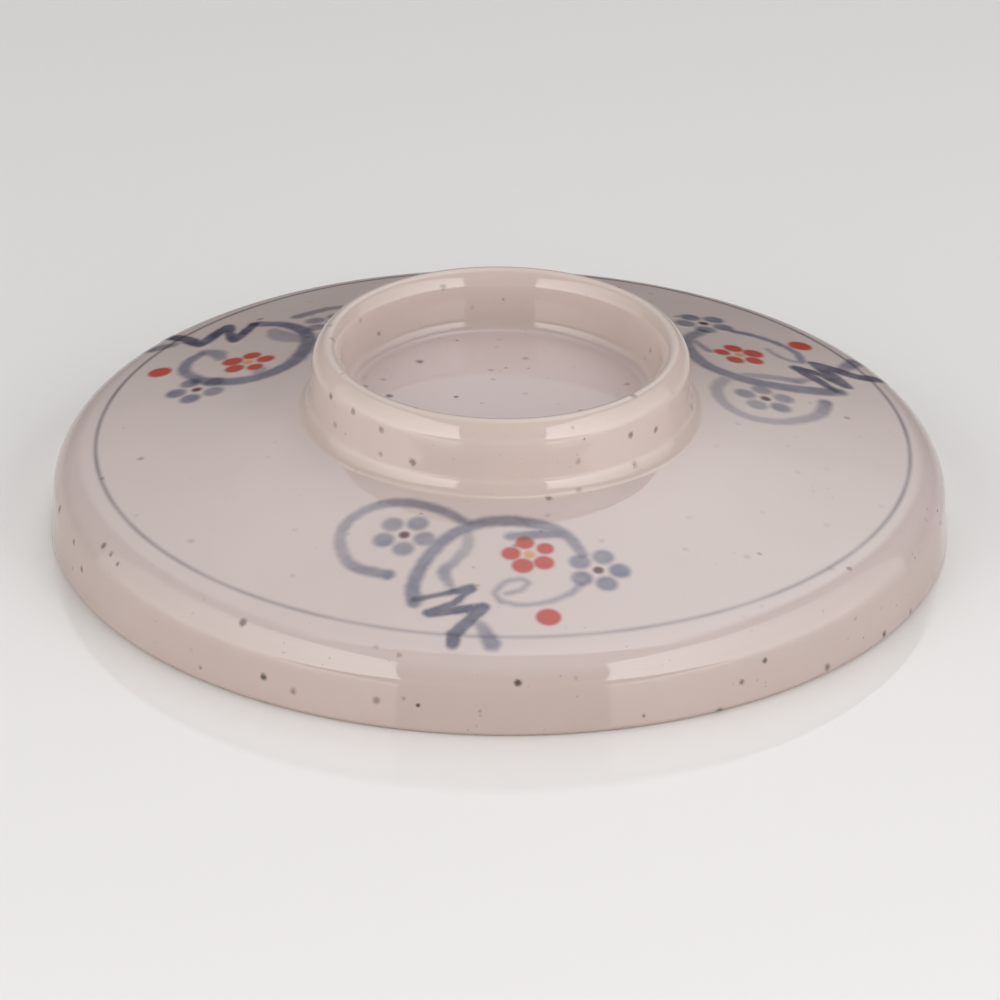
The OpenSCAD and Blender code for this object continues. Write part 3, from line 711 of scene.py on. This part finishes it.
def cream_glaze(tree):
    """Colour and surface of the speckled cream glaze, with painted light in the well, painted glow on the ring and
    painted shade on the skirt. Returns the colour and the bump, for the glaze and for every painted film on it."""
    where = object_place(tree)
    wobble = vector_math(tree, "SUBTRACT", noise(tree, where, 1600.0, 1.0, "Color"), (0.5, 0.5, 0.5)).outputs[0]
    ragged = vector_math(tree, "MULTIPLY_ADD", wobble, (RAGGED, RAGGED, RAGGED), where).outputs[0]
    cream = blend(tree, ramp(tree, noise(tree, where, 38.0, 3.0), 0.3, 0.7), CREAM_DEEP, CREAM_PALE)
    flat = vector_math(tree, "MULTIPLY", where, (1, 1, 0)).outputs[0]
    radius = vector_math(tree, "LENGTH", flat).outputs["Value"]
    up = node(tree, "ShaderNodeSeparateXYZ", {0: where}).outputs[2]
    # Painted light: the glaze is painted lighter in the well, where its floor and inner wall catch reflected and
    # bounced light.
    cream = tint(tree, cream, zone(tree, radius, WELL_RADIUS, up, WELL_HEIGHT), PAINTED_LIGHT_IN_WELL)
    # Painted glow: the ring is painted lighter and warmer, for light that passes through its thin wall and bounces
    # inside it.
    cream = tint(tree, cream, zone(tree, radius, RING_INNER, radius, RING_OUTER), PAINTED_GLOW_ON_RING)
    # Painted shade: the skirt is painted darker. The same zone also lets more specks show there.
    skirt_shade_and_specks = zone(tree, radius, SKIRT_RADIUS, up, SKIRT_HEIGHT)
    cream = tint(tree, cream, skirt_shade_and_specks, PAINTED_SHADE_ON_SKIRT)
    thick = zone(tree, radius, DOME_INNER, radius, DOME_OUTER)
    hidden = ramp(tree, math(tree, "SUBTRACT", thick, skirt_shade_and_specks), -1.0, 1.0, -0.3, 0.5)
    for scale, least, most, dark in SPECK_LAYERS:
        amount, redness = specks(tree, ragged, hidden, scale, least, most)
        iron = blend(tree, ramp(tree, redness, 0.55, 0.9), IRON_BROWN, IRON_RED)
        cream = tint(tree, cream, math(tree, "MULTIPLY", amount, dark), iron)
    wave = noise(tree, where, 70.0, 1.0)
    bump = node(tree, "ShaderNodeBump", {"Strength": 0.05, "Distance": 0.0006, "Height": wave}).outputs[0]
    return cream, bump


def set_gloss(tree, shader, colour, bump, roughness=0.05, ior=1.6):
    """Fired glaze: colour and surface go to the shader, and its gloss is set on its own sockets."""
    tree.links.new(colour, shader.inputs["Base Color"])
    tree.links.new(bump, shader.inputs["Normal"])
    shader.inputs["Roughness"].default_value = roughness
    shader.inputs["IOR"].default_value = ior


glaze_material, tree, shader = new_material("speckled_cream_glaze")
set_gloss(tree, shader, *cream_glaze(tree))
for piece in (outer_glaze, inner_glaze):
    piece.data.materials.append(glaze_material)
print("glaze nodes:", len(tree.nodes))

# %% [markdown]
# ## Painted colours
# A wash is a clear stain: it multiplies the colour of the glaze under it, as a colour filter does. Each film reads the
# amounts that its points carry, breaks them up a little with noise as a wet brush does, and multiplies one colour
# after another onto the same speckled cream. At the border of a film its own amounts are zero, so its edge is lost.

# %% Enamel on the glaze
STAINS = (
    ("brushed", 0, (0.19, 0.226, 0.36)),
    ("brushed", 1, (0.09, 0.104, 0.205)),
    ("brushed", 2, (0.215, 0.25, 0.39)),
    ("dabbed", 0, (0.77, 0.088, 0.045)),
    ("dabbed", 1, (0.97, 0.6, 0.26)),
    ("dabbed", 2, (0.2, 0.062, 0.1)),
    ("ruled", 0, (0.28, 0.285, 0.33)),
)
paint_materials = {}
for slot in dict.fromkeys(film_slot.values()):
    paint_materials[slot], tree, shader = new_material(f"fused_{slot}")
    colour, bump = cream_glaze(tree)
    thin = ramp(tree, noise(tree, object_place(tree), 300.0), 0.25, 0.75, 0.87, 1.07)
    for label, place, stain in STAINS:
        carried = node(tree, "ShaderNodeAttribute", attribute_name=label).outputs["Vector"]
        amount = node(tree, "ShaderNodeSeparateXYZ", {0: carried}).outputs[place]
        amount = math(tree, "MULTIPLY", amount, thin) if label == "brushed" else amount
        colour = tint(tree, colour, amount, stain)
    set_gloss(tree, shader, colour, bump)
for piece, slot in painted_pieces:
    piece.data.materials.append(paint_materials[slot])
print("painted finishes:", ", ".join(paint_materials))

# %% [markdown]
# ## Bare clay
# The rim is left bare, because glaze there would stick to the kiln shelf, and so is the seat inside. Fired clay is
# dull and a little sandy: fine noise breaks up its colour and its surface.

# %% Sandy clay
clay_material, tree, shader = new_material("sandy_bare_clay")
BUFF_DEEP, BUFF_PALE, SAND = (0.46, 0.35, 0.24), (0.56, 0.45, 0.33), (0.55, 0.45, 0.36)
grain = noise(tree, object_place(tree), 900.0, 4.0)
buff = blend(tree, noise(tree, object_place(tree), 60.0), BUFF_DEEP, BUFF_PALE)
buff = tint(tree, buff, ramp(tree, grain, 0.55, 0.75, 0.0, 0.5), SAND)
bump = node(tree, "ShaderNodeBump", {"Strength": 0.3, "Distance": 0.0003, "Height": grain}).outputs[0]
tree.links.new(buff, shader.inputs["Base Color"])
tree.links.new(bump, shader.inputs["Normal"])
shader.inputs["Roughness"].default_value = 0.8
clay.data.materials.append(clay_material)
print("clay nodes:", len(tree.nodes))

# %% [markdown]
# ## Table and studio light
# Gloss is only as good as what it reflects. The dome mirrors a wide bright bank behind the table and overhead. The
# rim, the ring and the lip mirror two tall softboxes that stand left and right of the camera, with a gap between them.
# Each is brightest beside the gap and low down. A pale, glossy table mirrors the softboxes once more, which puts a
# faint step on the skirt, and fills in from below. An area light's brightness is its power divided by pi and its
# area, so each panel gets the power that makes its brightness 1, and its own nodes grade that.

# %% Table
floor = bpy.data.objects.new("table", bpy.data.meshes.new("table"))
floor.data.from_pydata([(-4, -4, 0), (4, -4, 0), (4, 4, 0), (-4, 4, 0)], [], [(0, 1, 2, 3)])
bpy.context.scene.collection.objects.link(floor)
table_material, tree, shader = new_material("pale_table")
PAPER_DEEP, PAPER_PALE = (0.835, 0.815, 0.795), (0.855, 0.835, 0.815)
pale = blend(tree, noise(tree, object_place(tree), 3.0), PAPER_DEEP, PAPER_PALE)
tree.links.new(pale, shader.inputs["Base Color"])
shader.inputs["Roughness"].default_value = 0.03
shader.inputs["IOR"].default_value = 1.7
floor.data.materials.append(table_material)
print("table", floor.dimensions[:2])


# %% Softboxes
panel_away, panel_low, panel_high, panel_w = 0.8, -0.03, 1.02, 1.6
fade_from, fade_to, low_glow, high_glow = 0.2, 0.9, 1.0, 0.75  # part of the height in which a panel fades


def panel(name, azimuth, near, far, colour, lean=np.radians(10)):
    """Panel of light that faces the lid. Azimuth 0 stands behind the camera and 90 to its right, in degrees. It leans
    away from the camera's side, which lets its edge run straight down the reflection in the rim. The brightness runs
    from near, at the edge beside the camera, to far, and falls off a little towards the top."""
    a, lean, tall = np.radians(azimuth), lean * np.sign(azimuth), panel_high - panel_low
    out, side = np.array([np.sin(a), -np.cos(a), 0]), np.array([np.cos(a), np.sin(a), 0])
    up = np.array([0, 0, 1])
    stand = np.eye(4)
    stand[:3, 0] = side * np.cos(lean) - up * np.sin(lean)
    stand[:3, 1] = up * np.cos(lean) + side * np.sin(lean)
    stand[:3, 2] = out
    stand[:3, 3] = out * panel_away + [0, 0, (panel_low + panel_high) / 2]
    lamp = bpy.data.lights.new(name, "AREA")
    lamp.shape, lamp.size, lamp.size_y = "RECTANGLE", panel_w, tall
    lamp.energy = np.pi * panel_w * tall
    lamp.color = colour
    lamp.use_nodes = True
    tree = lamp.node_tree
    on_panel = node(tree, "ShaderNodeNewGeometry").outputs["Parametric"]
    place = node(tree, "ShaderNodeSeparateXYZ", {0: on_panel}).outputs
    ends = (near, far) if azimuth > 0 else (far, near)
    sideways = ramp(tree, place[0], 0.0, 1.0, *ends)
    glow = math(tree, "MULTIPLY", sideways, ramp(tree, place[1], fade_from, fade_to, low_glow, high_glow))
    tree.links.new(glow, tree.nodes["Emission"].inputs["Strength"])
    holder = bpy.data.objects.new(name, lamp)
    holder.matrix_world = Matrix(stand.tolist())
    bpy.context.scene.collection.objects.link(holder)
    print(name, "power", round(lamp.energy, 2))


panel("left_panel", -70, 3.3, 0.55, (1.0, 0.985, 0.975))
panel("right_panel", 73, 3.45, 0.65, (1.0, 0.985, 0.995))

# %% [markdown]
# ## The bank and the room
# The air round the table is the rest of the studio, drawn by direction: x to the right, y away from the camera and z
# up. The bank is a broad strip behind the table that grows brighter upwards, and it is stronger on the right. The rest
# of the room is a warm, dim glow near the horizon on the camera's side. Smooth steps between the parts keep hard edges
# out of the gloss.

# %% Bank and room
BANK_COLOUR, ROOM_COLOUR = (0.855, 0.89, 0.92), (1.0, 0.96, 0.92)
bank_left, bank_right, room_glow, room_least = 1.15, 2.0, 0.7, 0.06
world = bpy.data.worlds.new("studio_air")
world.use_nodes = True
tree = world.node_tree
toward = node(tree, "ShaderNodeSeparateXYZ", {0: node(tree, "ShaderNodeTexCoord").outputs["Generated"]}).outputs
height = ramp(tree, toward[2], 0.1, 0.8)
behind = ramp(tree, toward[1], -0.07, -0.03)
strip = ramp(tree, math(tree, "MULTIPLY", toward[0], toward[0]), 0.25, 0.09)
bank = math(tree, "MULTIPLY", math(tree, "MULTIPLY", height, behind), strip)
glow = math(tree, "MULTIPLY", bank, ramp(tree, toward[0], -0.22, 0.25, bank_left, bank_right))
low_room = ramp(tree, toward[2], 0.4, 0.0, 0.0, room_glow)
room = math(tree, "MULTIPLY_ADD", ramp(tree, toward[1], 0.7, 0.0), low_room, room_least)
air = tree.nodes["Background"]
tree.links.new(blend(tree, bank, ROOM_COLOUR, BANK_COLOUR), air.inputs["Color"])
tree.links.new(math(tree, "ADD", glow, room), air.inputs["Strength"])
bpy.context.scene.world = world
bpy.context.scene.view_settings.view_transform = "Standard"
print("studio air nodes:", len(tree.nodes))
